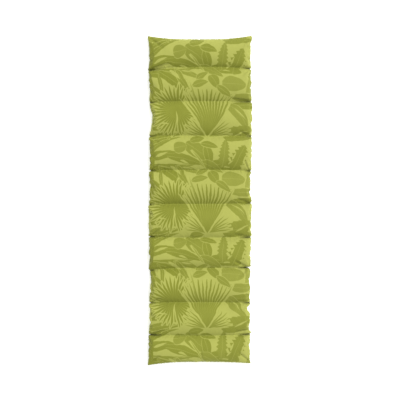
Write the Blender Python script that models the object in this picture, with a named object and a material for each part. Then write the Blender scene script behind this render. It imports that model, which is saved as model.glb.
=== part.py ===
"""Sun lounger cushion: one filled cloth cushion, stitched across into ten channels, lying on its back.

Metres, +Z up. +Y points to the head end and +X to the right, seen from above. The origin is the middle of the box
that the cushion fills, at the height of the surface it rests on.
"""

import math
from collections import namedtuple

import bpy

# Driving dimensions
LENGTH = 1.900
WIDTH = 0.600
THICKNESS = 0.072

# Heights of the line where the upper and the lower cloth meet: along the seams, along the sides between seams, at
# the ends of the seams and at the four corners
SEAM_HEIGHT = 0.026
SIDE_HEIGHT = 0.030
EAR_HEIGHT = 0.018
CORNER_HEIGHT = 0.010

# Two layers of cloth pressed together under a row of stitches, half of it
SEAM_HALF_THICKNESS = 0.0015

# Section of a channel along the cushion: 1 - |2t - 1| ** flatness, all to the power steepness
CROWN_FLATNESS = 2.3
CROWN_STEEPNESS = 0.80
UNDER_STEEPNESS = 0.62

# How far in from the sides the crown reaches its full height, and the shape of that end
END_REACH = 0.100
END_FLATNESS = 2.5
END_STEEPNESS = 0.56

# How much further the underside would bulge if the surface did not flatten it
UNDER_BULGE = 0.024

# Head and foot edges and seams stay straight in the middle and turn towards the corners with this power
EDGE_TURN = 3.0

# Uneven filling: height of the soft lumps, and their lengths along X and Y
LUMP = 0.0024
LUMP_LENGTH_X = 0.31
LUMP_LENGTH_Y = 0.53

# Each line across the cushion, head to foot. The first and last are the end edges and the rest are stitched seams.
# y_left, y_middle, y_right: where it runs, in shares of half the length. x_left, x_right: how far its ends reach, in
# shares of half the width. notch_left, notch_right: how deep a nick the stitches pull into the side, in metres.
Line = namedtuple("Line", "y_left y_middle y_right x_left x_right notch_left notch_right")
LINES = (
    Line(0.998, 0.975, 1.000, 1.000, 1.000, 0.000, 0.000),
    Line(0.784, 0.804, 0.796, 0.990, 0.983, 0.004, 0.006),
    Line(0.591, 0.597, 0.597, 0.970, 0.997, 0.002, 0.002),
    Line(0.388, 0.391, 0.387, 0.973, 1.000, 0.005, 0.003),
    Line(0.180, 0.183, 0.177, 0.973, 0.993, 0.009, 0.006),
    Line(-0.025, -0.022, -0.016, 0.980, 0.997, 0.002, 0.004),
    Line(-0.218, -0.225, -0.221, 0.980, 0.987, 0.011, 0.005),
    Line(-0.425, -0.408, -0.404, 0.973, 0.983, 0.005, 0.016),
    Line(-0.619, -0.615, -0.619, 0.973, 0.973, 0.008, 0.003),
    Line(-0.811, -0.816, -0.806, 0.973, 0.977, 0.008, 0.004),
    Line(-1.000, -0.976, -0.988, 1.000, 0.980, 0.000, 0.000),
)

# Each channel, head to foot. crown: how high it stands beside the tallest. waist_left, waist_right: how far its
# sides are drawn in from the line that joins its ears, and waist_at: where along the channel they are narrowest.
Channel = namedtuple("Channel", "crown waist_left waist_right waist_at")
CHANNELS = (
    Channel(0.93, 0.011, 0.008, 0.55),
    Channel(0.97, 0.008, 0.005, 0.52),
    Channel(1.00, 0.018, 0.003, 0.50),
    Channel(0.98, 0.011, 0.004, 0.60),
    Channel(0.99, 0.009, 0.012, 0.55),
    Channel(0.96, 0.003, 0.004, 0.50),
    Channel(0.95, 0.006, 0.006, 0.55),
    Channel(0.98, 0.012, 0.010, 0.38),
    Channel(0.96, 0.006, 0.006, 0.45),
    Channel(0.92, 0.004, 0.010, 0.50),
)

# Soft dents in the sides between seams. side: -1 left, 1 right. y: where. depth: how deep. reach: half its length.
Dent = namedtuple("Dent", "side y depth reach")
DENTS = (
    Dent(-1, 0.465, 0.004, 0.030),
    Dent(1, 0.140, 0.004, 0.022),
    Dent(1, -0.624, 0.015, 0.030),
    Dent(1, -0.727, 0.009, 0.024),
)

# Soft troughs that gather towards the ends of the seams and the corners, from one point to another, deepest midway
Fold = namedtuple("Fold", "x_from y_from x_to y_to half_width depth")
FOLDS = (
    Fold(-0.292, 0.935, -0.205, 0.868, 0.020, 0.008),
    Fold(0.290, 0.938, 0.228, 0.860, 0.018, 0.006),
    Fold(-0.290, 0.750, -0.165, 0.782, 0.019, 0.009),
    Fold(0.290, 0.752, 0.232, 0.712, 0.016, 0.006),
    Fold(0.292, 0.570, 0.172, 0.582, 0.019, 0.009),
    Fold(-0.276, 0.500, -0.210, 0.540, 0.018, 0.008),
    Fold(-0.286, 0.365, -0.222, 0.322, 0.016, 0.007),
    Fold(0.290, 0.366, 0.222, 0.396, 0.017, 0.008),
    Fold(0.036, 0.252, 0.042, 0.150, 0.015, 0.006),
    Fold(-0.284, 0.172, -0.226, 0.206, 0.016, 0.007),
    Fold(0.284, 0.168, 0.252, 0.232, 0.015, 0.007),
    Fold(0.292, -0.018, 0.212, 0.012, 0.017, 0.008),
    Fold(-0.286, -0.210, -0.232, -0.168, 0.016, 0.007),
    Fold(0.288, -0.208, 0.196, -0.196, 0.018, 0.009),
    Fold(0.278, -0.384, 0.196, -0.346, 0.020, 0.011),
    Fold(0.278, -0.390, 0.212, -0.440, 0.017, 0.008),
    Fold(-0.288, -0.400, -0.234, -0.446, 0.016, 0.007),
    Fold(-0.284, -0.588, -0.216, -0.560, 0.017, 0.008),
    Fold(0.268, -0.624, 0.206, -0.634, 0.018, 0.008),
    Fold(0.286, -0.736, 0.202, -0.758, 0.019, 0.009),
    Fold(-0.286, -0.768, -0.206, -0.744, 0.018, 0.009),
    Fold(0.008, -0.842, 0.012, -0.948, 0.016, 0.007),
    Fold(-0.290, -0.938, -0.222, -0.882, 0.018, 0.007),
    Fold(0.286, -0.926, 0.216, -0.866, 0.019, 0.008),
)

# Places along a channel and across a half width where the surface has its points, closer by the seams and sides
CHANNEL_STEPS = (0.0, 0.035, 0.09, 0.17, 0.27, 0.38, 0.5, 0.62, 0.73, 0.83, 0.91, 0.965)
HALF_WIDTH_STEPS = (0.0, 0.14, 0.28, 0.42, 0.54, 0.64, 0.73, 0.80, 0.86, 0.91, 0.95, 0.98, 1.0)

# The cloth's middle colour, between its lime ground and its green leaves
CLOTH_COLOUR = (0.40, 0.43, 0.085, 1.0)
CLOTH_ROUGHNESS = 0.85


def between(low, high, share):
    return low + (high - low) * share


def line_y(line, u):
    """Y of a line across the cushion at u, which runs from -1 at the left side to 1 at the right."""
    end = line.y_left if u < 0 else line.y_right
    return between(line.y_middle, end, abs(u) ** EDGE_TURN) * LENGTH / 2


def rise(t, steepness):
    """Height share of a channel's section at t, from 0 at one seam to 1 at the next."""
    return max(0.0, 1 - abs(2 * t - 1) ** CROWN_FLATNESS) ** steepness


def waist(t, waist_at):
    """0 at the ears and 1 where the channel is narrowest."""
    skewed = t ** (math.log(0.5) / math.log(waist_at))
    return math.sin(math.pi * skewed) ** 0.85


def dent_depth(side, y):
    """How far the dents draw a side in at y."""
    total = 0.0
    for dent in DENTS:
        away = abs(y - dent.y) / dent.reach
        if dent.side == side and away < 1:
            total += dent.depth * (0.5 + 0.5 * math.cos(math.pi * away))
    return total


def side_x(index, t, side):
    """X of the cushion's left (-1) or right (1) side, t of the way along a channel."""
    head, foot, channel = LINES[index], LINES[index + 1], CHANNELS[index]
    if side < 0:
        reach, drawn, notch = between(head.x_left, foot.x_left, t), channel.waist_left, head.notch_left
    else:
        reach, drawn, notch = between(head.x_right, foot.x_right, t), channel.waist_right, head.notch_right
    if t > 0:
        notch = 0.0
    y = between(line_y(head, side), line_y(foot, side), t)
    inward = drawn * waist(t, channel.waist_at) + notch + dent_depth(side, y)
    return side * (reach * WIDTH / 2 - inward)


def plan_point(index, t, u):
    """X and Y of the point t of the way along a channel and u of the way across."""
    y = between(line_y(LINES[index], u), line_y(LINES[index + 1], u), t)
    x = between(side_x(index, t, -1), side_x(index, t, 1), (u + 1) / 2)
    return x, y


def meeting_height(index, t, u):
    """Height of the line where the two cloths meet, or would meet inside a channel."""
    along = math.sin(math.pi * t)
    middle = between(SEAM_HEIGHT, SIDE_HEIGHT, along)
    ear_head = CORNER_HEIGHT if index == 0 else EAR_HEIGHT
    ear_foot = CORNER_HEIGHT if index == len(CHANNELS) - 1 else EAR_HEIGHT
    side = between(between(ear_head, ear_foot, t), SIDE_HEIGHT, along)
    return between(middle, side, abs(u) ** 4)


def end_share(x, left, right):
    """Height share left by the rounded ends of a channel, 0 at the sides and 1 past END_REACH."""
    inward = min(1.0, max(0.0, min(x - left, right - x)) / END_REACH)
    return (1 - (1 - inward) ** END_FLATNESS) ** END_STEEPNESS


def lump(x, y):
    """Unevenness of the filling, from -1 to 1."""
    wave_x = math.sin(2 * math.pi * x / LUMP_LENGTH_X + 7.0 * y)
    wave_y = math.cos(2 * math.pi * y / LUMP_LENGTH_Y - 5.0 * x)
    return 0.6 * wave_x + 0.4 * wave_y


def fold_depth(x, y):
    """How deep the folds press the upper cloth in at a point, with the deepest one winning."""
    deepest = 0.0
    for fold in FOLDS:
        run_x, run_y = fold.x_to - fold.x_from, fold.y_to - fold.y_from
        length = math.hypot(run_x, run_y)
        along = ((x - fold.x_from) * run_x + (y - fold.y_from) * run_y) / length ** 2
        away = abs((x - fold.x_from) * run_y - (y - fold.y_from) * run_x) / length / fold.half_width
        if 0 < along < 1 and away < 1:
            profile = (1 - away ** 2) ** 2 * math.sin(math.pi * along) ** 0.7
            deepest = max(deepest, fold.depth * profile)
    return deepest


def heights(index, t, u):
    """Heights of the lower and the upper cloth at a point of a channel."""
    x, y = plan_point(index, t, u)
    left, right = side_x(index, t, -1), side_x(index, t, 1)
    meeting = meeting_height(index, t, u)
    ends = end_share(x, left, right)
    inner = SEAM_HALF_THICKNESS * min(1.0, ends * 2)
    crown = (THICKNESS - SIDE_HEIGHT) * CHANNELS[index].crown + LUMP * (lump(x, y) - 1)
    puff = (crown - inner) * rise(t, CROWN_STEEPNESS) * ends
    upper = meeting + inner + max(puff * 0.3, puff - fold_depth(x, y))
    bulge = (meeting + UNDER_BULGE) * rise(t, UNDER_STEEPNESS) * ends
    lower = max(0.0, meeting - inner - bulge)
    return lower, upper


def across_steps():
    """Every u, from the left side to the right."""
    right = list(HALF_WIDTH_STEPS)
    return [-u for u in reversed(right[1:])] + right


def row_places():
    """(channel, t) of every row of points, head to foot."""
    rows = [(index, t) for index in range(len(CHANNELS)) for t in CHANNEL_STEPS]
    return rows + [(len(CHANNELS) - 1, 1.0)]


def cushion_mesh():
    """One closed surface: the upper and the lower cloth, sharing their points round the edge."""
    rows, columns = row_places(), across_steps()
    points, upper, lower = [], {}, {}
    for i, (index, t) in enumerate(rows):
        for j, u in enumerate(columns):
            x, y = plan_point(index, t, u)
            at_edge = i in (0, len(rows) - 1) or j in (0, len(columns) - 1)
            if at_edge:
                upper[i, j] = lower[i, j] = len(points)
                points.append((x, y, meeting_height(index, t, u)))
                continue
            low, high = heights(index, t, u)
            upper[i, j] = len(points)
            points.append((x, y, high))
            lower[i, j] = len(points)
            points.append((x, y, low))
    faces = []
    for i in range(len(rows) - 1):
        for j in range(len(columns) - 1):
            corners = ((i, j), (i + 1, j), (i + 1, j + 1), (i, j + 1))
            faces.append([upper[c] for c in corners])
            faces.append([lower[c] for c in reversed(corners)])
    mesh = bpy.data.meshes.new("cushion")
    mesh.from_pydata(points, [], faces)
    mesh.update()
    mesh.shade_smooth()
    return mesh


def cloth_material():
    material = bpy.data.materials.new("printed_cloth")
    material.use_nodes = True
    shader = material.node_tree.nodes["Principled BSDF"]
    shader.inputs["Base Color"].default_value = CLOTH_COLOUR
    shader.inputs["Roughness"].default_value = CLOTH_ROUGHNESS
    shader.inputs["Metallic"].default_value = 0.0
    return material


def main():
    for old in list(bpy.data.objects):
        bpy.data.objects.remove(old)
    cushion = bpy.data.objects.new("cushion", cushion_mesh())
    cushion.data.materials.append(cloth_material())
    bpy.context.scene.collection.objects.link(cushion)


main()
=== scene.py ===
"""Looks of the sun lounger cushion: filled, channel-stitched cloth with a tonal leaf print.

It is seen from straight above. Metres, +Z up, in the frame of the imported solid. +Y is the head end and +X the
right side.
"""

import math
from collections import namedtuple

import bpy
import numpy as np
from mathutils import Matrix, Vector


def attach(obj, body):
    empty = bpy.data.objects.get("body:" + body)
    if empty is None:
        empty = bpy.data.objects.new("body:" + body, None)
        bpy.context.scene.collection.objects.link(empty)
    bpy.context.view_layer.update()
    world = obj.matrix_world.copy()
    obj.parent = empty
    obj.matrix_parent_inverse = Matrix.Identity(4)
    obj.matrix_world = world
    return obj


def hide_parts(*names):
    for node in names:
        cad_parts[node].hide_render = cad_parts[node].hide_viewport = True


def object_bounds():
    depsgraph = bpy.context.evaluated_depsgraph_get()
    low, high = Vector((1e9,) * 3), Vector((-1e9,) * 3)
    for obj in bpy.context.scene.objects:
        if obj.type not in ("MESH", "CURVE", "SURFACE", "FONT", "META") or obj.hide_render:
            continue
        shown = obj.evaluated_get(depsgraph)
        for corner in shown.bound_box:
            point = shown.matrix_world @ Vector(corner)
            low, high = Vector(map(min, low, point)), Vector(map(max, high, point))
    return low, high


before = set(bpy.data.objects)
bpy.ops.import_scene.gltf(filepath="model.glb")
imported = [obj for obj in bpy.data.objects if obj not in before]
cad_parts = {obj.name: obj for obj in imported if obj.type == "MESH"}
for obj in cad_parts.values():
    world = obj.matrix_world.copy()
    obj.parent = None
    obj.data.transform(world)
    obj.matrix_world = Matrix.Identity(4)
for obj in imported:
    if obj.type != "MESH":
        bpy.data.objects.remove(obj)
CAD_LOW, CAD_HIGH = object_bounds()

# Driving sizes, from the solid that the cloth replaces
WIDTH = CAD_HIGH.x - CAD_LOW.x
LENGTH = CAD_HIGH.y - CAD_LOW.y
THICKNESS = CAD_HIGH.z - CAD_LOW.z

# The photograph's frame: metres across its 400 pixels, and how far its middle lies from the cushion's
PICTURE_WIDTH = 2.299
PICTURE_MIDDLE = (0.0015, 0.0029)
LENS = 85.0
SENSOR = 36.0
OUTLINE_HEIGHT = 0.016

# Heights where the upper and the lower cloth meet: along the seams, at their ends and at the corners
SEAM_HEIGHT = 0.026
EAR_HEIGHT = 0.018
CORNER_HEIGHT = 0.010

# The same lines, channels and dents as in the solid, and one dent more: the third, which opens the notch at
# the seventh seam's right end. Lines: where each runs and ends, in shares of half the length and half the
# width, and how deep its stitches nick the sides. Channels: height of the crown beside the tallest, and how
# far the sides are drawn in, and where.
EDGE_TURN = 3.0
Line = namedtuple("Line", "y_left y_middle y_right x_left x_right notch_left notch_right")
LINES = (
    Line(0.998, 0.975, 1.000, 1.000, 1.000, 0.000, 0.000),
    Line(0.784, 0.804, 0.796, 0.990, 0.983, 0.004, 0.006),
    Line(0.591, 0.597, 0.597, 0.970, 0.997, 0.002, 0.002),
    Line(0.388, 0.391, 0.387, 0.973, 1.000, 0.005, 0.003),
    Line(0.180, 0.183, 0.177, 0.973, 0.993, 0.009, 0.006),
    Line(-0.025, -0.022, -0.016, 0.980, 0.997, 0.002, 0.004),
    Line(-0.218, -0.225, -0.221, 0.980, 0.987, 0.011, 0.005),
    Line(-0.425, -0.408, -0.404, 0.973, 0.983, 0.005, 0.016),
    Line(-0.619, -0.615, -0.619, 0.973, 0.973, 0.008, 0.003),
    Line(-0.811, -0.816, -0.806, 0.973, 0.977, 0.008, 0.004),
    Line(-1.000, -0.976, -0.988, 1.000, 0.980, 0.000, 0.000),
)
Channel = namedtuple("Channel", "crown waist_left waist_right waist_at")
CHANNELS = (
    Channel(0.93, 0.011, 0.008, 0.55),
    Channel(0.97, 0.008, 0.005, 0.52),
    Channel(1.00, 0.018, 0.003, 0.50),
    Channel(0.98, 0.011, 0.004, 0.60),
    Channel(0.99, 0.009, 0.012, 0.55),
    Channel(0.96, 0.003, 0.004, 0.50),
    Channel(0.95, 0.006, 0.006, 0.55),
    Channel(0.98, 0.012, 0.010, 0.38),
    Channel(0.96, 0.006, 0.006, 0.45),
    Channel(0.92, 0.004, 0.010, 0.50),
)
Dent = namedtuple("Dent", "side y depth reach")
DENTS = (
    Dent(-1, 0.465, 0.004, 0.030),
    Dent(1, 0.140, 0.004, 0.022),
    Dent(1, -0.384, 0.010, 0.024),
    Dent(1, -0.624, 0.015, 0.030),
    Dent(1, -0.727, 0.009, 0.024),
)
NOTCH_REACH = 0.014

# Pinches: how deep each seam's end is drawn down between its channels, and how far in that reaches
Pinch = namedtuple("Pinch", "line side depth length")
PINCHES = (
    Pinch(1, -1, 0.014, 0.100),
    Pinch(1, 1, 0.014, 0.056),
    Pinch(2, -1, 0.010, 0.050),
    Pinch(2, 1, 0.013, 0.138),
    Pinch(3, -1, 0.011, 0.044),
    Pinch(3, 1, 0.011, 0.044),
    Pinch(4, -1, 0.014, 0.050),
    Pinch(4, 1, 0.013, 0.050),
    Pinch(5, -1, 0.010, 0.037),
    Pinch(5, 1, 0.011, 0.044),
    Pinch(6, -1, 0.016, 0.050),
    Pinch(6, 1, 0.018, 0.081),
    Pinch(7, -1, 0.012, 0.050),
    Pinch(7, 1, 0.022, 0.075),
    Pinch(8, -1, 0.012, 0.044),
    Pinch(8, 1, 0.016, 0.056),
    Pinch(9, -1, 0.020, 0.081),
    Pinch(9, 1, 0.019, 0.081),
)

# To each side of its seam, a pinch has a valley, gathers the cloth over it and has painted shade, a darkening
# of the cloth's colour
PINCH_HALF_WIDTH = 0.009
PINCH_GATHER = 0.024
PINCH_SHADE = 0.0055

# A pinch's fade inward, the depths that gather the cloth and darken it with painted shade in full, and how low
# it may press
PINCH_FADE = 0.9
GATHER_DEPTH = 0.030
SHADE_DEPTH = 0.018
PINCH_FLOOR = 0.003

# Creases placed on the upper cloth, from one point to another, deepest midway
Crease = namedtuple("Crease", "x_from y_from x_to y_to half_width depth")
CREASES = (
    Crease(-0.292, 0.935, -0.205, 0.868, 0.011, 0.0085),
    Crease(0.290, 0.938, 0.228, 0.860, 0.010, 0.0068),
    Crease(-0.290, 0.750, -0.165, 0.782, 0.010, 0.0101),
    Crease(0.290, 0.752, 0.232, 0.712, 0.009, 0.0068),
    Crease(0.292, 0.570, 0.172, 0.582, 0.011, 0.0101),
    Crease(-0.276, 0.500, -0.210, 0.540, 0.010, 0.0085),
    Crease(-0.286, 0.365, -0.222, 0.322, 0.009, 0.0076),
    Crease(0.290, 0.366, 0.222, 0.396, 0.010, 0.0085),
    Crease(0.036, 0.252, 0.042, 0.150, 0.007, 0.0037),
    Crease(-0.284, 0.172, -0.226, 0.206, 0.009, 0.0076),
    Crease(0.284, 0.168, 0.252, 0.232, 0.008, 0.0076),
    Crease(0.292, -0.018, 0.212, 0.012, 0.010, 0.0085),
    Crease(-0.286, -0.210, -0.232, -0.168, 0.009, 0.0076),
    Crease(0.288, -0.208, 0.196, -0.196, 0.010, 0.0093),
    Crease(0.278, -0.384, 0.196, -0.346, 0.011, 0.0110),
    Crease(0.278, -0.390, 0.212, -0.440, 0.010, 0.0085),
    Crease(-0.288, -0.400, -0.234, -0.446, 0.009, 0.0076),
    Crease(-0.284, -0.588, -0.216, -0.560, 0.010, 0.0085),
    Crease(0.268, -0.624, 0.206, -0.634, 0.010, 0.0085),
    Crease(0.286, -0.736, 0.202, -0.758, 0.010, 0.0101),
    Crease(-0.286, -0.768, -0.206, -0.744, 0.010, 0.0093),
    Crease(0.008, -0.842, 0.012, -0.948, 0.007, 0.0059),
    Crease(-0.290, -0.938, -0.222, -0.882, 0.010, 0.0076),
    Crease(0.286, -0.926, 0.216, -0.866, 0.011, 0.0085),
)

# Cloth simulation: how much longer than each channel, and wider between seams, the two panels are cut, how
# sharply a seam drops to its ends, and how uneven the panels start
SLACK = 1.10
WIDTH_SLACK = 1.042
EAR_TURN = 6
START_UNEVEN = 0.0003
SEED = 3

# Size of the simulation: rows of each channel, columns across and frames
Simulation = namedtuple("Simulation", "rows columns frames")
FULL_SIMULATION = Simulation(18, 84, 16)
CLOTH_QUALITY = 5
CLOTH_MASS = 0.3
PRESSURE = 8.0
STIFFNESS = 15.0
SHEAR_STIFFNESS = 5.0
BENDING = 0.22

# Fit to the solid: the height that counts as a channel's crown, the powers of the curves that the cloth's
# sides and ends are compared by, how one channel's change passes into the next, and how round the waists are
CROWN_PERCENTILE = 99.5
SIDE_TREND = 4
END_TREND = 8
CROWN_BLEND = 3
END_FADE = 1.5
WAIST_ROUNDNESS = 0.85

# Points of the finished cloth, along each channel and across, closer by the seams and by the sides
FINE_ROWS = 34
FINE_COLUMNS = 146
ROW_CLOSING = 0.55
COLUMN_CLOSING = 0.50

# Rumples and creases: the rumples' depth and number along and across, how far from the seams and the sides
# both are full, and how soon a crease fades to its ends
RUMPLE = 0.0011
RUMPLE_CELLS = (64, 22)
RUMPLE_FROM_SEAM = 0.012
RUMPLE_FROM_SIDE = 0.020
CREASE_FROM_SEAM = 0.010
CREASE_FROM_SIDE = 0.012
CREASE_TAPER = 0.7

# Puckers along the seams: waves of several lengths, divided by their spread, that drift against each other
# from random phases of up to a full turn
PUCKER = 0.0013
PUCKER_REACH = 0.007
PUCKER_FADE = 0.010
PUCKER_LENGTHS = (0.011, 0.015, 0.021, 0.034)
PUCKER_SPREAD = 2.2
PUCKER_DRIFT = 0.35
PUCKER_DRIFT_LENGTH = 0.047
PHASES = 6.3

# Nicks in the sides: how far inward they reach, and how sharp they are
NOTCH_FADE = 0.060
NOTCH_POWER = 1.5

# The filling rounds the valley over each seam: how much, how far from the seam, and from where at the sides
EASE = 0.85
EASE_REACH = 0.020
EASE_FROM_SIDE = 0.020
EASE_PASSES = 8

# Thickness at the seams, the groove round the edge, and the limits of the upper cloth's height
SEAM_HALF_THICKNESS = 0.0012
SEAM_FROM_SIDE = 0.012
SEAM_GAP = 0.0011
EDGE_GROOVE = 0.0014
LOWEST_TOP = 0.0005
CROWN_ALLOWANCE = 0.004

# Stitches. Rings: place along the stitch as a share of its length, and size as a share of its width.
STITCH_PITCH = 0.0042
STITCH_LENGTH = 0.0030
STITCH_WIDTH = 0.0009
STITCH_FROM_END = 0.004
STITCH_AHEAD = 0.001
STITCH_LIFT = 0.0002
STITCH_SIDES = 6
STITCH_RINGS = ((-0.5, 0.25), (-0.32, 0.85), (0.0, 1.0), (0.32, 0.85), (0.5, 0.25))
THREAD_DARK = (0.36, 0.40, 0.07, 1.0)
THREAD_PALE = (0.50, 0.54, 0.12, 1.0)
THREAD_TWIST = (1500.0, 700.0, 700.0)

# Strength and distance of the relief of cloth and thread
CLOTH_BUMP = (0.35, 0.0004)
THREAD_BUMP = (0.3, 0.0002)

# Cloth: pitch of the weave, scales of its noises, how much slubs and blotches change its tone, and how much
# painted shade darkens it in the pinches
WEAVE_PITCH = 0.0009
WEAVE_HEIGHT = 0.5
SLUB_SCALES = (60.0, 900.0)
SLUB_HEIGHT = 0.9
SLUB_SHADE = 0.10
SLUB_ROUGHNESS = 0.10
BLOTCH_SCALE = 7.0
BLOTCH_SHADE = 0.16
PINCH_PAINTED_SHADE = 0.75
CLOTH_ROUGHNESS = 0.84
PRINT_SMOOTHNESS = -0.04

# Light, mostly from the head end and a little from the right, and the floor
Light = namedtuple("Light", "name direction strength angle")
LIGHTS = (
    Light("head_light", (0.85, 1.0, 1.25), 1.95, 28.0),
    Light("top_light", (0.35, -0.10, 1.0), 0.70, 60.0),
)
WORLD_STRENGTH = 0.70
WHITE = (1.0, 1.0, 1.0, 1.0)
FLOOR_HALF_SIZE = 12.0
FLOOR_HEIGHT = -0.0008
FLOOR_COLOUR = (0.93, 0.93, 0.93, 1.0)
FLOOR_GLOW = 0.35

# The print: its repeat along the cushion, its two colours, where a leaf is widest, and its edges
REPEAT = 0.545
REPEAT_START = 0.365
LIME = (0.366, 0.383, 0.082, 1.0)
LEAF = (0.200, 0.218, 0.020, 1.0)
BELLY = 0.75
PRINT_SOFTNESS = 0.0012
WAVER = 0.012
WAVER_SCALE = 22.0

# Lines on a leaf: lean of its teeth, its rib, and pitch, lean and strength of its veins
TOOTH_LEAN = 0.7
RIB_WIDTH = 0.0010
RIB_EDGE = (0.0001, 0.0009)
RIB_STRENGTH = 0.5
VEIN_PITCH = 0.011
VEIN_LEAN = 0.9
VEIN_EDGE = (0.02, 0.12)
VEIN_STRENGTH = 0.2

# Fingers of a palm leaf: how uneven their lengths are, and the pleats between them
FINGER_UNEVEN = 0.06
PLEAT_EDGE = (0.80, 0.98)
PLEAT_START = (0.05, 0.25)
PLEAT_STRENGTH = 0.45

# Leaves of the print. x, y: middle of the leaf, y from the start of the repeat. angle: where its tip points,
# in degrees from +X. bend: how far its middle bows out. point: 1 is a pointed leaf and 0.5 a round one.
# teeth, cut: how many times its edge is cut, and how deep, as a share. gap: width of the bare line round it.
# tone: how green it is.
Leaf = namedtuple("Leaf", "x y angle length width bend point teeth cut gap tone")
LEAVES_BELOW = (
    # Left: long blades that sweep in from the side
    Leaf(-0.205, 0.478, 32, 0.25, 0.030, 0.030, 1.0, 0, 0.0, 0.004, 0.95),
    Leaf(-0.180, 0.524, 20, 0.28, 0.032, 0.024, 1.0, 0, 0.0, 0.003, 0.95),
    Leaf(-0.215, 0.432, 10, 0.22, 0.048, 0.010, 0.9, 0, 0.0, 0.003, 0.95),
    Leaf(-0.190, 0.384, 2, 0.32, 0.046, -0.012, 0.9, 0, 0.0, 0.003, 0.90),
    Leaf(-0.080, 0.408, -14, 0.22, 0.050, 0.010, 0.9, 0, 0.0, 0.000, 0.95),
    Leaf(-0.200, 0.344, -10, 0.26, 0.044, 0.012, 0.9, 0, 0.0, 0.003, 1.00),
    Leaf(-0.060, 0.352, -20, 0.18, 0.036, 0.006, 0.9, 0, 0.0, 0.002, 0.85),
    Leaf(-0.148, 0.300, -40, 0.24, 0.052, 0.014, 0.9, 0, 0.0, 0.002, 1.00),
    Leaf(-0.090, 0.318, -60, 0.16, 0.036, -0.008, 0.9, 0, 0.0, 0.003, 0.90),
    Leaf(-0.222, 0.290, -84, 0.16, 0.022, 0.006, 1.0, 0, 0.0, 0.000, 0.90),
    Leaf(-0.284, 0.290, -78, 0.22, 0.044, 0.008, 0.9, 0, 0.0, 0.000, 1.00),
    Leaf(-0.284, 0.450, -84, 0.24, 0.046, 0.008, 0.8, 0, 0.0, 0.000, 1.00),
    Leaf(-0.280, 0.120, -76, 0.28, 0.056, 0.010, 0.8, 0, 0.0, 0.003, 1.00),
    Leaf(-0.225, 0.200, -64, 0.22, 0.060, 0.012, 0.8, 0, 0.0, 0.002, 0.95),
    Leaf(-0.238, 0.070, -56, 0.22, 0.046, 0.010, 0.9, 0, 0.0, 0.002, 0.95),
    Leaf(-0.115, 0.060, -6, 0.24, 0.074, 0.008, 0.7, 0, 0.0, 0.002, 0.85),
    Leaf(-0.215, 0.010, 10, 0.17, 0.040, 0.000, 0.9, 0, 0.0, 0.003, 0.90),
    # Right: broad leaves
    Leaf(0.222, 0.530, 4, 0.17, 0.038, 0.006, 0.8, 0, 0.0, 0.003, 0.85),
    Leaf(0.140, 0.378, -10, 0.19, 0.060, 0.006, 0.7, 0, 0.0, 0.002, 0.95),
    Leaf(0.276, 0.305, 80, 0.16, 0.050, -0.008, 0.6, 0, 0.0, 0.007, 0.65),
    Leaf(0.186, 0.298, -4, 0.13, 0.082, 0.004, 0.5, 0, 0.0, 0.007, 0.72),
    Leaf(0.225, 0.234, 178, 0.19, 0.046, 0.006, 0.7, 0, 0.0, 0.005, 0.75),
    Leaf(0.230, 0.178, 180, 0.17, 0.046, 0.004, 0.8, 0, 0.0, 0.005, 0.92),
    Leaf(0.200, 0.114, -50, 0.20, 0.062, 0.012, 0.8, 0, 0.0, 0.003, 0.80),
    Leaf(0.206, 0.028, 16, 0.17, 0.095, -0.008, 0.5, 5, 0.12, 0.000, 0.88),
    # Middle: the mass between the palms
    Leaf(-0.022, 0.462, -34, 0.15, 0.080, 0.004, 0.5, 0, 0.0, 0.000, 0.88),
    Leaf(0.040, 0.432, -76, 0.12, 0.050, 0.004, 0.8, 0, 0.0, 0.002, 0.95),
    Leaf(0.062, 0.372, -26, 0.15, 0.050, 0.006, 0.8, 0, 0.0, 0.002, 0.85),
    # Bare slivers between them
    Leaf(-0.190, 0.408, 2, 0.085, 0.011, 0.003, 1.0, 0, 0.0, 0.000, 0.00),
    Leaf(-0.090, 0.403, -20, 0.055, 0.013, 0.003, 1.0, 0, 0.0, 0.000, 0.00),
    Leaf(-0.212, 0.443, 18, 0.080, 0.015, 0.004, 1.0, 0, 0.0, 0.000, 0.00),
    Leaf(-0.140, 0.352, -42, 0.090, 0.020, 0.004, 0.9, 0, 0.0, 0.000, 0.00),
    Leaf(-0.070, 0.368, -10, 0.070, 0.010, 0.003, 1.0, 0, 0.0, 0.000, 0.00),
    Leaf(-0.030, 0.436, -44, 0.085, 0.014, 0.004, 1.0, 0, 0.0, 0.000, 0.00),
    Leaf(-0.255, 0.028, 4, 0.120, 0.017, 0.004, 0.9, 0, 0.0, 0.000, 0.00),
    Leaf(0.150, 0.372, -8, 0.080, 0.009, 0.003, 1.0, 0, 0.0, 0.000, 0.00),
    Leaf(0.232, 0.022, 24, 0.085, 0.011, 0.003, 1.0, 0, 0.0, 0.000, 0.00),
    Leaf(0.214, 0.122, -46, 0.100, 0.009, 0.004, 1.0, 0, 0.0, 0.000, 0.00),
)
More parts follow.
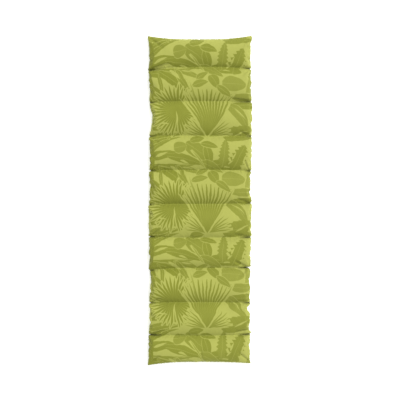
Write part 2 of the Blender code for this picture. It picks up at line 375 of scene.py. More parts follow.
LEAVES_ABOVE = (
    Leaf(-0.022, 0.165, -76, 0.32, 0.010, 0.006, 1.0, 0, 0.0, 0.000, 0.90),
    Leaf(-0.010, 0.415, -52, 0.13, 0.008, 0.004, 1.0, 0, 0.0, 0.003, 0.90),
    Leaf(-0.113, 0.482, 10, 0.070, 0.064, 0.000, 0.5, 0, 0.0, 0.003, 0.82),
    Leaf(-0.018, 0.526, 12, 0.085, 0.044, 0.004, 0.7, 0, 0.0, 0.003, 0.90),
    Leaf(0.048, 0.490, -13, 0.098, 0.036, 0.005, 0.8, 0, 0.0, 0.003, 0.95),
    Leaf(0.134, 0.452, 84, 0.160, 0.066, 0.006, 0.7, 8, 0.35, 0.000, 0.85),
    Leaf(0.212, 0.424, 66, 0.150, 0.100, 0.004, 0.5, 6, 0.45, 0.000, 0.92),
    Leaf(0.014, 0.342, 32, 0.080, 0.034, 0.004, 0.8, 0, 0.0, 0.003, 0.88),
    Leaf(0.000, 0.300, 13, 0.092, 0.040, 0.004, 0.8, 0, 0.0, 0.003, 0.85),
    Leaf(0.076, 0.312, -58, 0.080, 0.058, 0.004, 0.6, 0, 0.0, 0.003, 0.90),
    Leaf(0.130, 0.258, -36, 0.100, 0.036, 0.004, 0.8, 0, 0.0, 0.003, 0.85),
    # Bare flecks
    Leaf(0.184, 0.434, 62, 0.042, 0.012, 0.002, 0.8, 0, 0.0, 0.000, 0.00),
    Leaf(0.168, 0.402, 40, 0.036, 0.010, 0.002, 0.8, 0, 0.0, 0.000, 0.00),
    Leaf(0.246, 0.420, 72, 0.070, 0.010, 0.004, 0.9, 0, 0.0, 0.000, 0.00),
    Leaf(-0.205, 0.075, -6, 0.060, 0.009, 0.002, 1.0, 0, 0.0, 0.000, 0.00),
)

# Palm leaves of the print. x, y: where the stem joins. spread: half the angle that the fingers cover, in
# degrees. fused: share of the radius where they are joined. narrowing: how much shorter the outer ones are.
Palm = namedtuple("Palm", "x y angle radius spread fingers fused narrowing gap tone")
PALMS = (
    Palm(-0.142, 0.142, 92, 0.164, 174, 35, 0.50, 0.12, 0.006, 0.95),
    Palm(0.040, 0.000, 90, 0.160, 86, 19, 0.38, 0.15, 0.007, 0.85),
    Palm(0.040, 0.000, 91, 0.315, 34, 13, 0.48, 0.12, 0.009, 0.90),
)


def between(low, high, share):
    return low + (high - low) * share


def risen(distance, reach):
    """0 at an edge, and 1 from reach inward."""
    return np.clip(distance / reach, 0, 1)


# Outline, as in the solid

def line_y(line, u):
    """Y of a line across the cushion at every u, from -1 at the left side to 1 at the right."""
    end = np.where(u < 0, line.y_left, line.y_right)
    return between(line.y_middle, end, np.abs(u) ** EDGE_TURN) * LENGTH / 2


def side_x(index, t, side):
    """X of the left (-1) or right (1) side at every t along a channel, its seams' notches left out."""
    head, foot, channel = LINES[index], LINES[index + 1], CHANNELS[index]
    ends = (head.x_left, foot.x_left) if side < 0 else (head.x_right, foot.x_right)
    drawn = channel.waist_left if side < 0 else channel.waist_right
    skewed = t ** (math.log(0.5) / math.log(channel.waist_at))
    inward = drawn * np.sin(np.pi * np.clip(skewed, 0, 1)) ** WAIST_ROUNDNESS
    y = between(line_y(head, np.float64(side)), line_y(foot, np.float64(side)), t)
    for dent in DENTS:
        if dent.side == side:
            away = risen(np.abs(y - dent.y), dent.reach)
            inward = inward + dent.depth * (0.5 + 0.5 * np.cos(np.pi * away))
    return side * (between(*ends, t) * WIDTH / 2 - inward)


# Cloth simulation

def arc_half_angle(slack):
    """Half the angle of an arc that is slack times as long as its chord."""
    low, high = 0.001, 3.0
    for _ in range(50):
        middle = (low + high) / 2
        if middle / math.sin(middle) < slack:
            low = middle
        else:
            high = middle
    return low


def start_panels(size):
    """Places of the two panels, bent into an arch over and under every channel, their sides still open."""
    half_angle = arc_half_angle(SLACK)
    u = np.linspace(-1, 1, size.columns + 1)
    places = np.zeros((2, len(CHANNELS) * size.rows + 1, size.columns + 1, 3))
    across = (u + 1) / 2
    seams = [line_y(line, u) for line in LINES]
    for end in (0, -1):
        seams[end] = between(seams[end][0], seams[end][-1], across)
    for row in range(places.shape[1]):
        index = min(row // size.rows, len(CHANNELS) - 1)
        t = row / size.rows - index
        head, foot = LINES[index], LINES[index + 1]
        turn = (2 * t - 1) * half_angle
        along = (math.sin(turn) / math.sin(half_angle) + 1) / 2
        height = (math.cos(turn) - math.cos(half_angle)) / (2 * math.sin(half_angle))
        chord = seams[index] - seams[index + 1]
        wider = between(1, WIDTH_SLACK, math.sin(math.pi * t) ** 2) * WIDTH / 2
        left, right = -between(head.x_left, foot.x_left, t), between(head.x_right, foot.x_right, t)
        x = between(left, right, across) * wider
        y = between(seams[index], seams[index + 1], along)
        ear_head = CORNER_HEIGHT if index == 0 else EAR_HEIGHT
        ear_foot = CORNER_HEIGHT if index == len(CHANNELS) - 1 else EAR_HEIGHT
        meeting = between(SEAM_HEIGHT, between(ear_head, ear_foot, t), np.abs(u) ** EAR_TURN)
        for layer, way in enumerate((1, -1)):
            places[layer, row] = np.stack([x, y, meeting + way * height * chord], -1)
    return places


def sheet_numbers(shared):
    """Numbers of the points of an upper and a lower sheet, which have the marked points in common."""
    high, wide = shared.shape
    upper = np.arange(high * wide).reshape(high, wide)
    lower = upper.copy()
    lower[~shared] = high * wide + np.arange((~shared).sum())
    return upper, lower


def sheet_faces(upper, lower):
    """Faces of both sheets, the lower one's turned over."""
    faces = []
    for number in (upper, lower[:, ::-1]):
        corners = (number[:-1, :-1], number[1:, :-1], number[1:, 1:], number[:-1, 1:])
        faces.append(np.stack(corners, -1).reshape(-1, 4))
    return np.concatenate(faces).tolist()


def panel_mesh(places, rows):
    """The panels as one mesh with every seam's points in common and loose edges that will sew the sides."""
    _, high, wide, _ = places.shape
    shared = np.zeros((high, wide), bool)
    shared[::rows] = True
    upper, lower = sheet_numbers(shared)
    points = np.concatenate([places[0].reshape(-1, 3), places[1][~shared]])
    sewn = [(int(upper[row, side]), int(lower[row, side])) for row in range(high) for side in (0, -1)
            if not shared[row, side]]
    mesh = bpy.data.meshes.new("panels")
    mesh.from_pydata(points.tolist(), sewn, sheet_faces(upper, lower))
    return mesh, np.stack([upper, lower])


def add_cloth(panels, frames):
    """Blender's cloth on the panels: sewing springs at the sides, air inside and no weight."""
    cloth = panels.modifiers.new("Cloth", "CLOTH")
    settings = cloth.settings
    settings.quality = CLOTH_QUALITY
    settings.mass = CLOTH_MASS
    settings.tension_stiffness = settings.compression_stiffness = STIFFNESS
    settings.shear_stiffness = SHEAR_STIFFNESS
    settings.bending_stiffness = BENDING
    settings.vertex_group_mass = "held"
    settings.use_sewing_springs = True
    settings.use_pressure = True
    settings.uniform_pressure_force = PRESSURE
    settings.effector_weights.gravity = 0
    cloth.collision_settings.use_collision = False
    cloth.point_cache.frame_end = frames


def filled_panels(size):
    """Places of both panels after their sides are sewn and they are blown up, by the cloth simulation."""
    places = start_panels(size)
    uneven = np.random.default_rng(SEED).normal(0, START_UNEVEN, places.shape[:3])
    uneven[:, ::size.rows] = 0
    places[..., 2] += uneven
    mesh, number = panel_mesh(places, size.rows)
    panels = add_object("panels", mesh)
    held = panels.vertex_groups.new(name="held")
    corners = number[0][[0, 0, -1, -1], [0, -1, 0, -1]]
    seams = number[0][size.rows:-1:size.rows].ravel()
    held.add(np.concatenate([seams, corners]).tolist(), 1.0, "REPLACE")
    add_cloth(panels, size.frames)
    for moment in range(1, size.frames + 1):
        bpy.context.scene.frame_set(moment)
    settled = panels.evaluated_get(bpy.context.evaluated_depsgraph_get()).data
    points = np.zeros(len(settled.vertices) * 3, np.float32)
    settled.vertices.foreach_get("co", points)
    places = points.reshape(-1, 3)[number].astype(float)
    bpy.data.objects.remove(panels)
    bpy.context.scene.frame_set(1)
    places[:, :, [0, -1]] = places[:, :, [0, -1]].mean(0)
    return places


# Fit to the solid

def trend(values, t, power):
    """A smooth curve through values, without their small crinkles."""
    return np.polyval(np.polyfit(t, values, power), t)


def fitted(places, rows):
    """The simulated cloth, brought to the solid's outline and heights, with its own crinkles kept."""
    places = places.copy()
    last = len(CHANNELS) - 1
    t = np.linspace(0, 1, rows + 1)
    share = np.linspace(0, 1, places.shape[2])
    u = 2 * share - 1
    wholes = [slice(index * rows, (index + 1) * rows + 1) for index in range(len(CHANNELS))]
    raised = [THICKNESS * channel.crown / np.percentile(places[0, whole, :, 2], CROWN_PERCENTILE)
              for channel, whole in zip(CHANNELS, wholes)]
    for index, whole in enumerate(wholes):
        left = side_x(index, t, -1) - trend(places[0, whole, 0, 0], t, SIDE_TREND)
        right = side_x(index, t, 1) - trend(places[0, whole, -1, 0], t, SIDE_TREND)
        before, own, after = raised[max(index - 1, 0)], raised[index], raised[min(index + 1, last)]
        ends = np.where(t < 0.5, (before + own) / 2, (own + after) / 2)
        factor = between(own, ends, np.abs(2 * t - 1) ** CROWN_BLEND)
        # A seam's row belongs to the channel after it
        count = rows + 1 if index == last else rows
        part = slice(index * rows, index * rows + count)
        places[:, part, :, 0] += left[:count, None] * (1 - share) + right[:count, None] * share
        places[:, part, :, 2] *= factor[:count, None]
    for end in (0, -1):
        shift = line_y(LINES[end], u) - trend(places[0, end, :, 1], u, END_TREND)
        for step in range(rows):
            row = step if end == 0 else -1 - step
            places[:, row, :, 1] += shift * (1 - step / rows) ** END_FADE
    return places


# Finished cloth

def smooth_read(points, at):
    """Values of points at fractional places along its first axis, on a smooth curve through them."""
    first = 2 * points[:1] - points[1:2]
    last = 2 * points[-1:] - points[-2:-1]
    padded = np.concatenate([first, points, last])
    whole = np.clip(np.floor(at).astype(int), 0, len(points) - 2)
    part = (at - whole).reshape(-1, *[1] * (points.ndim - 1))
    a, b, c, d = (padded[whole + step] for step in range(4))
    return b + part * (c - a + part * (2 * a - 5 * b + 4 * c - d + part * (3 * (b - c) + d - a))) / 2


def closing_steps(count, closing):
    """Shares from 0 to 1 that lie closer together at both ends."""
    even = np.linspace(0, 1, count + 1)
    return even - closing * np.sin(2 * np.pi * even) / (2 * np.pi)


Grid = namedtuple("Grid", "row_share column_share u from_side from_seam seam_rows nearest_seam")


def fine_grid():
    """Where the rows and columns of the finished cloth lie, and how far from their nearest seam and side."""
    row_share = closing_steps(FINE_ROWS, ROW_CLOSING)
    column_share = closing_steps(FINE_COLUMNS, COLUMN_CLOSING)
    channel_share = np.concatenate([row_share[:-1]] * len(CHANNELS) + [row_share[-1:]])
    rows = np.arange(len(channel_share))
    return Grid(
        row_share=row_share,
        column_share=column_share,
        u=2 * column_share - 1,
        from_side=np.minimum(column_share, 1 - column_share) * WIDTH,
        from_seam=np.minimum(channel_share, 1 - channel_share) * LENGTH / len(CHANNELS),
        seam_rows=rows[::FINE_ROWS],
        nearest_seam=np.rint(rows / FINE_ROWS).astype(int),
    )


def from_end(grid, side):
    """How far each column lies from the left (-1) or the right (1) side."""
    return (grid.column_share if side < 0 else 1 - grid.column_share) * WIDTH


def resampled(settled, size, grid):
    """The fitted cloth on the fine grid, and each point's place on the flat cloth."""
    cloth, flat = [], []
    for index in range(len(CHANNELS)):
        shares = grid.row_share if index == len(CHANNELS) - 1 else grid.row_share[:-1]
        part = settled[:, index * size.rows:(index + 1) * size.rows + 1].swapaxes(0, 1)
        read = smooth_read(part, shares * size.rows)
        cloth.append(smooth_read(read.swapaxes(0, 2), grid.column_share * size.columns).swapaxes(0, 2))
        middle = between(LINES[index].y_middle, LINES[index + 1].y_middle, shares) * LENGTH / 2
        flat.append(np.stack(np.broadcast_arrays(grid.u * WIDTH / 2, middle[:, None]), -1))
    return np.concatenate(cloth).swapaxes(0, 1), np.concatenate(flat)


def uneven_field(rows, columns, shape, rng):
    """A smooth random surface between about -1 and 1."""
    coarse = rng.normal(0, 0.5, (rows, columns))
    tall = smooth_read(coarse, np.linspace(0, rows - 1, shape[0]))
    return smooth_read(tall.T, np.linspace(0, columns - 1, shape[1])).T


def normals(places):
    """Unit normals of a grid of places, pointing up for a sheet that lies face up."""
    across = np.gradient(places, axis=1)
    along = np.gradient(places, axis=0)
    normal = np.cross(across, -along)
    return normal / np.maximum(np.linalg.norm(normal, axis=-1, keepdims=True), 1e-9)


def crease_depth(x, y):
    """How deep the creases press the upper cloth in, with the deepest one winning."""
    deepest = np.zeros_like(x)
    for crease in CREASES:
        run_x, run_y = crease.x_to - crease.x_from, crease.y_to - crease.y_from
        from_x, from_y = x - crease.x_from, y - crease.y_from
        length = math.hypot(run_x, run_y)
        along = np.clip((from_x * run_x + from_y * run_y) / length ** 2, 0, 1)
        away = np.abs(from_x * run_y - from_y * run_x) / length / crease.half_width
        profile = np.clip(1 - away ** 2, 0, 1) ** 2 * np.sin(np.pi * along) ** CREASE_TAPER
        deepest = np.maximum(deepest, crease.depth * profile)
    return deepest


def puckers(place, phase, rng):
    """Uneven waves along a seam, as its thread gathers the cloth."""
    total = np.zeros_like(place)
    for length in PUCKER_LENGTHS:
        drift = PUCKER_DRIFT * np.sin(place / PUCKER_DRIFT_LENGTH + rng.uniform(0, PHASES))
        total += np.sin(2 * np.pi * place / length + drift + rng.uniform(0, PHASES) + phase)
    return total / PUCKER_SPREAD


def pucker_swell(distance):
    """0 on a seam, 1 at the reach of its puckers, and fading beyond."""
    return distance / PUCKER_REACH * np.exp(1 - distance / PUCKER_REACH)


def rumpled(cloth, grid):
    """The cloth with rumples, puckers and creases, each along the sheet's own normal."""
    rng = np.random.default_rng(SEED)
    from_seam, from_side = grid.from_seam[:, None], grid.from_side[None, :]
    rumples = [uneven_field(*RUMPLE_CELLS, cloth.shape[1:3], rng) for _ in range(2)]
    seam_waves = np.stack([puckers(grid.u * WIDTH / 2, 0.0, rng) for _ in LINES])[grid.nearest_seam]
    for layer, way in enumerate((1, -1)):
        places = cloth[layer]
        inner = risen(from_side, RUMPLE_FROM_SIDE) * risen(from_seam, RUMPLE_FROM_SEAM)
        relief = RUMPLE * rumples[layer] * inner
        relief += PUCKER * pucker_swell(from_seam) * seam_waves * risen(from_side, PUCKER_FADE)
        for column, half, phase in ((0, grid.u < 0, 0.0), (-1, grid.u >= 0, 1.0)):
            waves = puckers(places[:, column, 1], phase, rng)[:, None]
            relief += PUCKER * waves * (pucker_swell(from_side) * half) * risen(from_seam, PUCKER_FADE)
        if layer == 0:
            inner = risen(from_seam, CREASE_FROM_SEAM) * risen(from_side, CREASE_FROM_SIDE)
            relief -= crease_depth(places[..., 0], places[..., 1]) * inner
        cloth[layer] = places + relief[..., None] * normals(places) * way
    return cloth


def nicked(cloth, grid):
    """The cloth with the nicks that the stitches pull into its sides."""
    for row, line in zip(grid.seam_rows, LINES):
        for side, column, depth in ((-1, 0, line.notch_left), (1, -1, line.notch_right)):
            away = np.abs(cloth[0, :, column, 1] - cloth[0, row, column, 1])
            pulled = depth * (1 - risen(away, NOTCH_REACH)) ** NOTCH_POWER
            near = (1 - risen(from_end(grid, side), NOTCH_FADE)) ** 2
            cloth[..., 0] -= side * pulled[None, :, None] * near[None, None, :]
    return cloth


def pinched(cloth, grid):
    """The cloth with its seams' ends drawn down and gathered over, and the painted shade that darkens its
    colour in them.
    """
    shade = np.zeros(cloth.shape[:3])
    for pinch in PINCHES:
        fade = (1 - risen(from_end(grid, pinch.side), pinch.length)) ** PINCH_FADE
        seam = cloth[0, grid.seam_rows[pinch.line], :, 1]
        offsets = [cloth[layer, ..., 1] - seam for layer in range(2)]
        for layer, away in enumerate(offsets):
            gathered = fade * pinch.depth / GATHER_DEPTH * np.exp(-(away / PINCH_GATHER) ** 2)
            cloth[layer, ..., 1] -= away * gathered
            drop = fade * pinch.depth * np.exp(-(away / PINCH_HALF_WIDTH) ** 2)
            height = cloth[layer, ..., 2]
            cloth[layer, ..., 2] = np.maximum(height - drop, np.minimum(height, PINCH_FLOOR))
            # Painted shade: the cloth's colour is darkened along the seam in the pinch, more for a deeper pinch
            deep = fade * min(pinch.depth / SHADE_DEPTH, 1) * np.exp(-(away / PINCH_SHADE) ** 2)
            shade[layer] = np.maximum(shade[layer], deep)
    return cloth, shade


def eased(cloth, shade, grid):
    """The cloth with the valley over each seam rounded, as the filling does, but not in the pinches."""
    smooth = cloth[0, ..., 2].copy()
    for _ in range(EASE_PASSES):
        smooth[1:-1] = (smooth[:-2] + 2 * smooth[1:-1] + smooth[2:]) / 4
    near = np.exp(-(grid.from_seam[:, None] / EASE_REACH) ** 2)
    weight = EASE * near * (1 - shade[0]) * risen(grid.from_side, EASE_FROM_SIDE)
    weight[:FINE_ROWS // 2] = weight[-FINE_ROWS // 2:] = 0
    cloth[0, ..., 2] = between(cloth[0, ..., 2], smooth, weight)
    return cloth


def kept_apart(cloth, grid):
    """The cloth with neighbouring channels pressed against each other, but not across their seam."""
    for index in range(len(CHANNELS)):
        start, stop = grid.seam_rows[index:index + 2]
        head, foot = cloth[0, start, :, 1], cloth[0, stop, :, 1]
        inside = slice(start + 1, stop)
        if index > 0:
            cloth[:, inside, :, 1] = np.minimum(cloth[:, inside, :, 1], head - SEAM_GAP)
        if index < len(CHANNELS) - 1:
            cloth[:, inside, :, 1] = np.maximum(cloth[:, inside, :, 1], foot + SEAM_GAP)
    return cloth


def thickened(cloth, grid):
    """The cloth with thickness at the seams, a flat underside and the groove of the seam round its edge."""
    half = SEAM_HALF_THICKNESS * risen(grid.from_side, SEAM_FROM_SIDE) * np.ones((cloth.shape[1], 1))
    half[[0, -1]] = 0
    cloth[0, ..., 2] += half
    cloth[1, ..., 2] -= half
    cloth[0, ..., 2] = np.maximum(cloth[0, ..., 2], cloth[1, ..., 2] + 2 * half)
    cloth[1, ..., 2] = np.maximum(cloth[1, ..., 2], 0)
    cloth[0, ..., 2] = np.clip(cloth[0, ..., 2], LOWEST_TOP, THICKNESS + CROWN_ALLOWANCE)
    cloth[:, :, 0, 0] += EDGE_GROOVE
    cloth[:, :, -1, 0] -= EDGE_GROOVE
    cloth[:, 0, :, 1] -= EDGE_GROOVE
    cloth[:, -1, :, 1] += EDGE_GROOVE
    return cloth


def finished_cloth():
    """Places of the upper and lower cloth, their places when flat, the painted shade in their pinches, and seam
    rows.
    """
    size = FULL_SIMULATION
    settled = fitted(filled_panels(size), size.rows)
    grid = fine_grid()
    cloth, flat = resampled(settled, size, grid)
    cloth = nicked(rumpled(cloth, grid), grid)
    cloth, shade = pinched(cloth, grid)
    cloth = thickened(kept_apart(eased(cloth, shade, grid), grid), grid)
    return cloth, flat, shade, grid.seam_rows


def closed_mesh(name, cloth, flat, shade):
    """The two sheets as one closed surface that shares its points round the edge."""
    edge = np.zeros(cloth.shape[1:3], bool)
    edge[[0, -1]] = True
    edge[:, [0, -1]] = True
    upper, lower = sheet_numbers(edge)
    points = np.concatenate([cloth[0].reshape(-1, 3), cloth[1][~edge]])
    place = np.concatenate([flat.reshape(-1, 2), flat[~edge]])
    place = np.column_stack([place, np.zeros(len(place))])
    deep = np.concatenate([shade[0].ravel(), shade[1][~edge]])
    mesh = bpy.data.meshes.new(name)
    mesh.from_pydata(points.tolist(), [], sheet_faces(upper, lower))
    on_cloth = mesh.attributes.new("on_cloth", "FLOAT_VECTOR", "POINT")
    on_cloth.data.foreach_set("vector", place.astype(np.float32).ravel())
    # Painted shade in the pinches, kept on each point to darken the cloth's colour
    painted_pinch_shade = mesh.attributes.new("painted_pinch_shade", "FLOAT", "POINT")
    painted_pinch_shade.data.foreach_set("value", deep.astype(np.float32))
    mesh.shade_smooth()
    mesh.update()
    return mesh


# Stitches

def read_path(path, length, at):
    """Places on a path at distances along it."""
    return np.stack([np.interp(at, length, path[:, axis]) for axis in range(3)], -1)


def stitch_rows(cloth, seam_rows):
    """Middles and directions of every stitch, above and below, along the nine seams."""
    middles, ways = [], []
    for row in seam_rows[1:-1]:
        for layer, way in enumerate((1, -1)):
            path = cloth[layer, row]
            length = np.concatenate([[0], np.cumsum(np.linalg.norm(np.diff(path, axis=0), axis=1))])
            at = np.arange(STITCH_FROM_END, length[-1] - STITCH_FROM_END, STITCH_PITCH)
            place = read_path(path, length, at)
            place[:, 2] += way * STITCH_LIFT
            middles.append(place)
            ways.append(read_path(path, length, at + STITCH_AHEAD) - place)
    return np.concatenate(middles), np.concatenate(ways)


def stitch_shape():
    """Points of one stitch, along it, across and over, and its faces: a small spindle."""
    turns = [2 * math.pi * side / STITCH_SIDES for side in range(STITCH_SIDES)]
    points = [(along * STITCH_LENGTH, size * math.cos(turn) * STITCH_WIDTH / 2,
               size * math.sin(turn) * STITCH_WIDTH / 2) for along, size in STITCH_RINGS for turn in turns]
    faces = []
    for ring in range(len(STITCH_RINGS) - 1):
        near, far = ring * STITCH_SIDES, (ring + 1) * STITCH_SIDES
        for side in range(STITCH_SIDES):
            after = (side + 1) % STITCH_SIDES
            faces.append((near + side, near + after, far + after, far + side))
    faces.append(tuple(reversed(range(STITCH_SIDES))))
    faces.append(tuple(range(len(points) - STITCH_SIDES, len(points))))
    return np.array(points), faces


def stitch_mesh(cloth, seam_rows):
    """All the stitches as one mesh."""
    middles, ways = stitch_rows(cloth, seam_rows)
    ways /= np.linalg.norm(ways, axis=1, keepdims=True)
    across = np.cross((0.0, 0.0, 1.0), ways)
    across /= np.linalg.norm(across, axis=1, keepdims=True)
    over = np.cross(ways, across)
    shape, shape_faces = stitch_shape()
    points = (middles[:, None] + shape[:, 0, None] * ways[:, None] + shape[:, 1, None] * across[:, None]
              + shape[:, 2, None] * over[:, None])
    faces = [tuple(start + corner for corner in face)
             for start in range(0, len(middles) * len(shape), len(shape)) for face in shape_faces]
    mesh = bpy.data.meshes.new("stitches")
    mesh.from_pydata(points.reshape(-1, 3).tolist(), [], faces)
    mesh.shade_smooth()
    return mesh


# Materials

class Number:
    """A number that nodes work out, so that formulas can be written as plain sums."""

    def __init__(self, tree, socket):
        self.tree = tree
        self.socket = socket

    def made(self, operation, *others, clamp=False):
        node = self.tree.nodes.new("ShaderNodeMath")
        node.operation = operation
        node.use_clamp = clamp
        for place, value in zip(node.inputs, (self, *others)):
            if isinstance(value, Number):
                self.tree.links.new(value.socket, place)
            else:
                place.default_value = value
        return Number(self.tree, node.outputs[0])

    def __add__(self, other):
        return self.made("ADD", other)

    def __sub__(self, other):
        return self.made("SUBTRACT", other)

    def __mul__(self, other):
        return self.made("MULTIPLY", other)

    def __truediv__(self, other):
        return self.made("DIVIDE", other)

    def __pow__(self, other):
        return self.made("POWER", other)

    def __abs__(self):
        return self.made("ABSOLUTE")

    def minus_from(self, other):
        """other - self"""
        return (self * -1.0) + other

    def limited(self):
        """self, kept between 0 and 1"""
        return self.made("MULTIPLY", 1.0, clamp=True)

    def steps_in(self, low, high):
        """0 below low, 1 above high and a straight slope between them."""
        return ((self - low) / (high - low)).limited()


def new_group(name, labels):
    """An empty node group for a kind of motif, and its inputs as Numbers."""
    group = bpy.data.node_groups.new(name, "ShaderNodeTree")
    for label in labels:
        group.interface.new_socket(label, in_out="INPUT", socket_type="NodeSocketFloat")
    for label in ("inside", "around", "vein"):
        group.interface.new_socket(label, in_out="OUTPUT", socket_type="NodeSocketFloat")
    entry = group.nodes.new("NodeGroupInput")
    return group, [Number(group, entry.outputs[label]) for label in labels]


def finish_group(group, depth, gap, lines):
    """The group's outputs: whether a place is in the motif, in it or the gap round it, and its veins."""
    leave = group.nodes.new("NodeGroupOutput")
    inside = depth.steps_in(0.0, PRINT_SOFTNESS)
    around = (depth + gap).steps_in(0.0, PRINT_SOFTNESS)
    for number, place in zip((inside, around, lines), leave.inputs):
        group.links.new(number.socket, place)
    return group


def turned(x, y, cosine, sine):
    """x and y seen from an axis turned by an angle."""
    return x * cosine + y * sine, y * cosine - x * sine


def wrapped(y, middle):
    """y from the nearest repeat of a motif whose middle is given."""
    return (y - middle).made("WRAP", REPEAT / 2, -REPEAT / 2)


def leaf_group():
    """One leaf, with a bent axis, a swelling width, toothed edges and veins."""
    group, numbers = new_group("leaf", (
        "x", "y", "middle_x", "middle_y", "cosine", "sine", "length", "half_width", "bend", "point", "teeth",
        "cut", "gap"))
    x, y, middle_x, middle_y, cosine, sine, length, half_width, bend, point, teeth, cut, gap = numbers
    along, across = turned(x - middle_x, wrapped(y, middle_y), cosine, sine)
    share = (along / length + 0.5).limited()
    bowed = abs(across - bend * share * share.minus_from(1.0) * 4.0)
    swell = ((share ** BELLY) * math.pi).made("SINE") ** point
    saw = ((share - bowed / length * TOOTH_LEAN) * teeth).made("FRACT")
    past_end = (abs(along) - length * 0.5).made("MAXIMUM", 0.0)
    depth = half_width * swell * (saw * cut).minus_from(1.0) - bowed - past_end
    rib = (bowed - share.minus_from(1.0) * RIB_WIDTH).steps_in(*RIB_EDGE)
    rib = (rib.minus_from(1.0) * RIB_STRENGTH).minus_from(1.0)
    veins = ((along - bowed * VEIN_LEAN) / VEIN_PITCH).made("PINGPONG", 0.5).steps_in(*VEIN_EDGE)
    lines = rib * (veins.minus_from(1.0) * VEIN_STRENGTH).minus_from(1.0)
    return finish_group(group, depth, gap, lines)


def palm_group():
    """One palm leaf, with fingers that are joined near its stem and pleats between them."""
    group, numbers = new_group("palm", (
        "x", "y", "stem_x", "stem_y", "cosine", "sine", "radius", "spread", "fingers", "fused", "narrowing",
        "gap"))
    x, y, stem_x, stem_y, cosine, sine, radius, spread, fingers, fused, narrowing, gap = numbers
    ahead, beside = turned(x - stem_x, wrapped(y, stem_y), cosine, sine)
    out = (ahead * ahead + beside * beside).made("SQRT")
    turn = beside.made("ARCTAN2", ahead) / spread
    finger = (turn + 1.0) / 2.0 * fingers
    own_middle = finger.made("FLOOR") + 0.5
    finger_turn = own_middle / fingers * 2.0 - 1.0
    uneven = (own_middle * 2.4).made("SINE") * FINGER_UNEVEN + (1.0 - FINGER_UNEVEN)
    reach = radius * (abs(finger_turn) ** 1.7 * narrowing).minus_from(1.0) * uneven
    share = out / reach
    off_middle = abs(finger.made("FRACT") - 0.5) * 2.0
    taper = (((share - fused) / fused.minus_from(1.0)).limited() ** 3.0).minus_from(1.0)
    depth = (fused * reach * taper - off_middle * out) * (spread / fingers)
    depth = depth.made("MINIMUM", reach - out).made("MINIMUM", abs(turn).minus_from(1.0) * out * spread)
    pleat = off_middle.steps_in(*PLEAT_EDGE) * share.steps_in(*PLEAT_START)
    return finish_group(group, depth, gap, (pleat * PLEAT_STRENGTH).minus_from(1.0))


def painted(tree, group, green, values, tone):
    """green after one more motif: its gap is cleared to the ground and its inside is filled."""
    node = tree.nodes.new("ShaderNodeGroup")
    node.node_tree = group
    for label, value in values.items():
        if isinstance(value, Number):
            tree.links.new(value.socket, node.inputs[label])
        else:
            node.inputs[label].default_value = value
    inside, around, vein = (Number(tree, node.outputs[label]) for label in ("inside", "around", "vein"))
    return green * around.minus_from(1.0) + inside * vein * tone


def painted_leaves(tree, group, green, table, x, y):
    """green after every leaf of a table."""
    for one in table:
        turn = math.radians(one.angle)
        green = painted(tree, group, green, {
            "x": x, "y": y, "middle_x": one.x, "middle_y": one.y, "cosine": math.cos(turn),
            "sine": math.sin(turn), "length": one.length, "half_width": one.width / 2, "bend": one.bend,
            "point": one.point, "teeth": one.teeth, "cut": one.cut, "gap": one.gap}, one.tone)
    return green


def painted_palms(tree, group, green, x, y):
    """green after every palm leaf."""
    for one in PALMS:
        turn = math.radians(one.angle)
        green = painted(tree, group, green, {
            "x": x, "y": y, "stem_x": one.x, "stem_y": one.y, "cosine": math.cos(turn),
            "sine": math.sin(turn), "radius": one.radius, "spread": math.radians(one.spread),
            "fingers": one.fingers, "fused": one.fused, "narrowing": one.narrowing, "gap": one.gap}, one.tone)
    return green


def leaf_print(tree, x, y):
    """How green the print is at every place of the cloth, from 0 on its ground to 1."""
    leaf, palm = leaf_group(), palm_group()
    green = painted_leaves(tree, leaf, x * 0.0, LEAVES_BELOW, x, y)
    green = painted_palms(tree, palm, green, x, y)
    return painted_leaves(tree, leaf, green, LEAVES_ABOVE, x, y)


def new_look(name):
    """A new material, its nodes and its shader."""
    material = bpy.data.materials.new(name)
    material.use_nodes = True
    tree = material.node_tree
    return material, tree, tree.nodes["Principled BSDF"]


def set_inputs(node, values):
    for label, value in values.items():
        node.inputs[label].default_value = value


def read_attribute(tree, name):
    node = tree.nodes.new("ShaderNodeAttribute")
    node.attribute_name = name
    return node.outputs


def noise(tree, vector, scale, detail):
    node = tree.nodes.new("ShaderNodeTexNoise")
    set_inputs(node, {"Scale": scale, "Detail": detail})
    tree.links.new(vector, node.inputs["Vector"])
    return node.outputs


def stretched(tree, vector, scale):
    node = tree.nodes.new("ShaderNodeVectorMath")
    node.operation = "MULTIPLY"
    tree.links.new(vector, node.inputs[0])
    node.inputs[1].default_value = scale
    return node.outputs[0]


def split(tree, vector):
    """X and Y of a vector or a colour, as Numbers."""
    node = tree.nodes.new("ShaderNodeSeparateXYZ")
    tree.links.new(vector, node.inputs[0])
    return Number(tree, node.outputs["X"]), Number(tree, node.outputs["Y"])


def mixed(tree, share, first, second, mode="MIX"):
    """Two colours, each a colour or a socket, mixed by a Number or a plain share."""
    node = tree.nodes.new("ShaderNodeMix")
    node.data_type = "RGBA"
    node.blend_type = mode
    for socket, value in zip((node.inputs[0], node.inputs[6], node.inputs[7]), (share, first, second)):
        if isinstance(value, Number):
            tree.links.new(value.socket, socket)
        elif isinstance(value, bpy.types.NodeSocket):
            tree.links.new(value, socket)
        else:
            socket.default_value = value
    return node.outputs[2]


def add_bump(tree, shader, height, strength, distance):
    """Relief on a shader's surface, from a socket that gives its height."""
    bump = tree.nodes.new("ShaderNodeBump")
    set_inputs(bump, {"Strength": strength, "Distance": distance})
    tree.links.new(height, bump.inputs["Height"])
    tree.links.new(bump.outputs["Normal"], shader.inputs["Normal"])


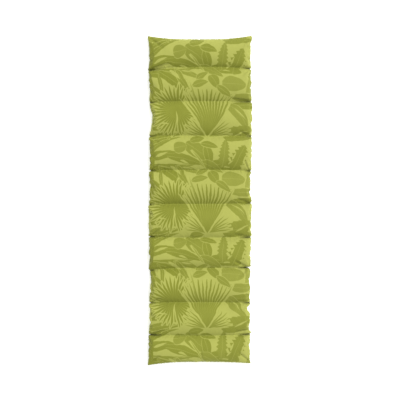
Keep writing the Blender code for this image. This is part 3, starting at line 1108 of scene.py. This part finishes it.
def printed_cloth():
    """Plain-woven cotton with a tonal leaf print."""
    material, tree, shader = new_look("printed_cloth_look")
    vector = read_attribute(tree, "on_cloth")["Vector"]
    x, y = split(tree, vector)

    # The printed edges waver a little, as on cloth printed from a screen
    waver_x, waver_y = split(tree, noise(tree, vector, WAVER_SCALE, 2.0)["Color"])
    off_x, off_y = (waver_x - 0.5) * WAVER, (waver_y - 0.5) * WAVER
    green = leaf_print(tree, x + off_x, y - REPEAT_START + off_y)

    # Slubs both ways, slow changes of tone, and painted shade that darkens the colour in the pinches
    coarse, fine = SLUB_SCALES
    slub_across = noise(tree, stretched(tree, vector, (coarse, fine, 1.0)), 1.0, 2.0)
    slub_along = noise(tree, stretched(tree, vector, (fine, coarse, 1.0)), 1.0, 2.0)
    blotch = noise(tree, vector, BLOTCH_SCALE, 3.0)
    threads = Number(tree, slub_across["Fac"]) + Number(tree, slub_along["Fac"]) - 1.0
    shade = threads * SLUB_SHADE + (Number(tree, blotch["Fac"]) - 0.5) * BLOTCH_SHADE + 1.0
    # Painted shade: the colour is darkened in the pinches
    painted_pinch_shade = Number(tree, read_attribute(tree, "painted_pinch_shade")["Fac"])
    shade = shade * (painted_pinch_shade * PINCH_PAINTED_SHADE).minus_from(1.0)
    grey = tree.nodes.new("ShaderNodeCombineColor")
    for socket in grey.inputs[:3]:
        tree.links.new(shade.socket, socket)
    colour = mixed(tree, 1.0, mixed(tree, green, LIME, LEAF), grey.outputs[0], "MULTIPLY")
    tree.links.new(colour, shader.inputs["Base Color"])

    # Weave: warp and weft passing over and under each other
    warp, weft = ((axis * (2 * math.pi / WEAVE_PITCH)).made("SINE") for axis in (x, y))
    weave = warp * weft * WEAVE_HEIGHT + threads * SLUB_HEIGHT
    add_bump(tree, shader, weave.socket, *CLOTH_BUMP)
    rough = threads * SLUB_ROUGHNESS + green * PRINT_SMOOTHNESS + CLOTH_ROUGHNESS
    tree.links.new(rough.socket, shader.inputs["Roughness"])
    set_inputs(shader, {"Specular IOR Level": 0.25, "Sheen Weight": 0.22, "Sheen Roughness": 0.45,
                        "Sheen Tint": (0.90, 0.95, 0.45, 1.0)})
    return material


def thread_look():
    """Polyester sewing thread in the cloth's lime, with its twist."""
    material, tree, shader = new_look("thread_look")
    place = tree.nodes.new("ShaderNodeTexCoord")
    twist = noise(tree, stretched(tree, place.outputs["Object"], THREAD_TWIST), 1.0, 1.0)["Fac"]
    colour = mixed(tree, Number(tree, twist), THREAD_DARK, THREAD_PALE)
    tree.links.new(colour, shader.inputs["Base Color"])
    add_bump(tree, shader, twist, *THREAD_BUMP)
    set_inputs(shader, {"Roughness": 0.55, "Sheen Weight": 0.10})
    return material


def floor_look():
    material, _, shader = new_look("floor_look")
    set_inputs(shader, {"Base Color": FLOOR_COLOUR, "Emission Color": WHITE, "Emission Strength": FLOOR_GLOW,
                        "Roughness": 0.95, "Specular IOR Level": 0.1})
    return material


# Stage

def add_object(name, data):
    made = bpy.data.objects.new(name, data)
    bpy.context.scene.collection.objects.link(made)
    return made


def add_camera():
    """Straight above, with the photograph's framing at the height of the outline."""
    camera = bpy.data.cameras.new("camera")
    camera.lens = LENS
    camera.sensor_width = SENSOR
    placed = add_object("camera", camera)
    placed.location = (*PICTURE_MIDDLE, PICTURE_WIDTH * LENS / SENSOR + OUTLINE_HEIGHT)
    bpy.context.scene.camera = placed


def add_light(one):
    light = bpy.data.lights.new(one.name, "SUN")
    light.energy = one.strength
    light.angle = math.radians(one.angle)
    placed = add_object(one.name, light)
    placed.rotation_euler = Vector(one.direction).to_track_quat("Z", "Y").to_euler()


def add_stage():
    """A plain pale floor under soft light."""
    mesh = bpy.data.meshes.new("floor")
    corners = [(x * FLOOR_HALF_SIZE, y * FLOOR_HALF_SIZE, FLOOR_HEIGHT)
               for x, y in ((-1, -1), (1, -1), (1, 1), (-1, 1))]
    mesh.from_pydata(corners, [], [(0, 1, 2, 3)])
    mesh.materials.append(floor_look())
    add_object("floor", mesh)
    for one in LIGHTS:
        add_light(one)
    world = bpy.data.worlds.new("studio")
    world.use_nodes = True
    set_inputs(world.node_tree.nodes["Background"], {"Color": WHITE, "Strength": WORLD_STRENGTH})
    bpy.context.scene.world = world
    bpy.context.scene.view_settings.view_transform = "Standard"


def dressed(name, mesh, look):
    """A piece of the cushion, riding the root."""
    mesh.materials.append(look)
    piece = add_object(name, mesh)
    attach(piece, "root")
    return piece


def main():
    add_camera()
    add_stage()
    cloth, flat, shade, seam_rows = finished_cloth()
    filled = dressed("filled_cloth", closed_mesh("filled_cloth", cloth, flat, shade), printed_cloth())
    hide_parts("cushion")
    dressed("channel_stitches", stitch_mesh(cloth, seam_rows), thread_look())


main()
